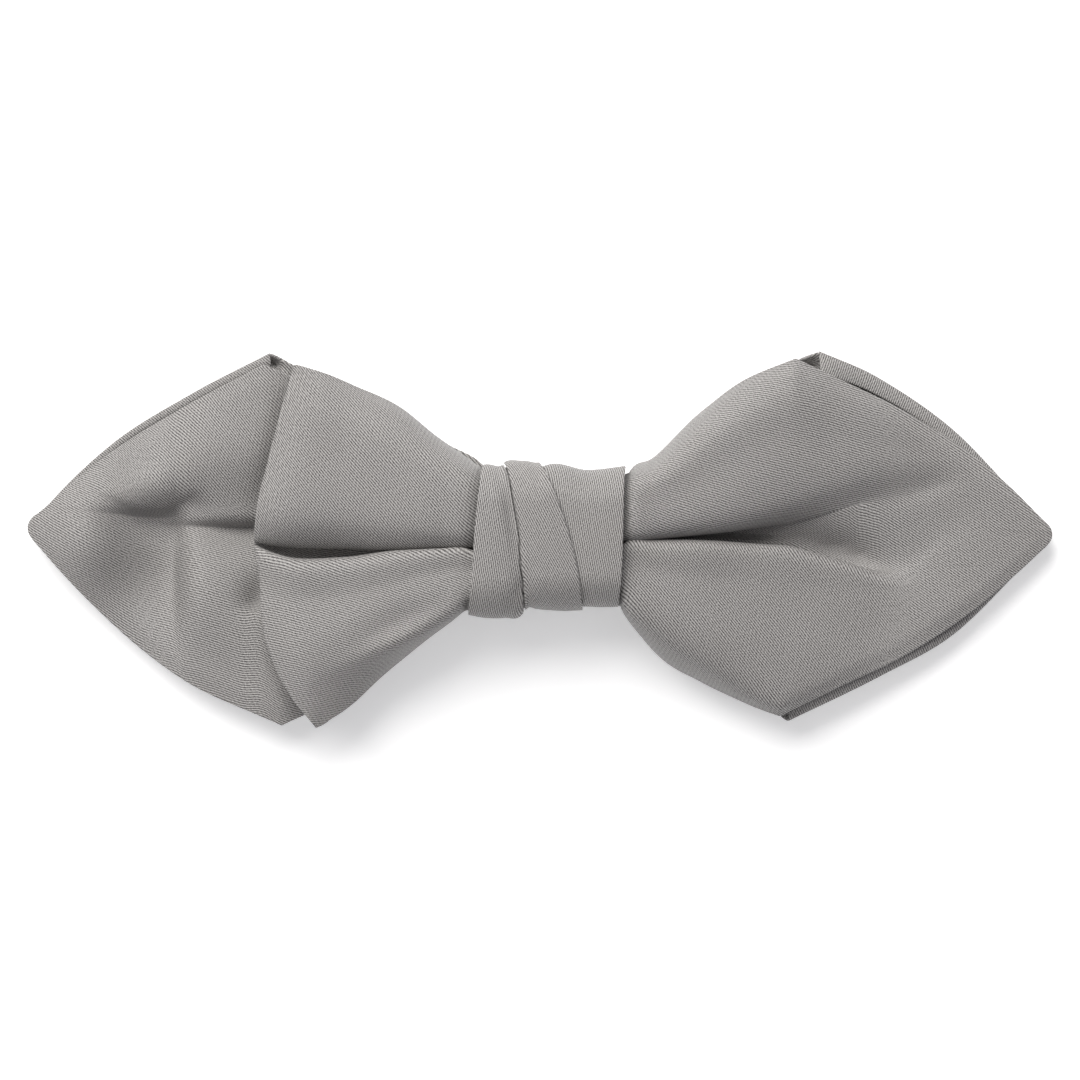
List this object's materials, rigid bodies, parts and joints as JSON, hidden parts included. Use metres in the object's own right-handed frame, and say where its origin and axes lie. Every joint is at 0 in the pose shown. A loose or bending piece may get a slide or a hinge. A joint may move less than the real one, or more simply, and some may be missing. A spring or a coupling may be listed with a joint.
{
  "type": "pre-tied diamond point bow tie",
  "caption": "Pre-tied bow tie with pointed ends, a false loop at one side, a wound centre knot and a hidden collar clip, lying on its back.",
  "frame": {"origin": "on the surface that the bow tie lies on, under the middle of its outline", "axes": "+X along the bow to the end whose whole front strip is one piece, +Y up the bow as worn, +Z out of its front"},
  "size_m": [0.1252, 0.0463, 0.0167],
  "materials": {
    "twill": "grey fine twill with a soft satin sheen",
    "clip_metal": "plain brushed steel strip"
  },
  "bodies": {
    "root": {"front_bow": "twill", "left_point": "twill", "back_bow": "twill", "knot_wrap": "twill", "collar_clip": "clip_metal"}
  },
  "joints": []
}
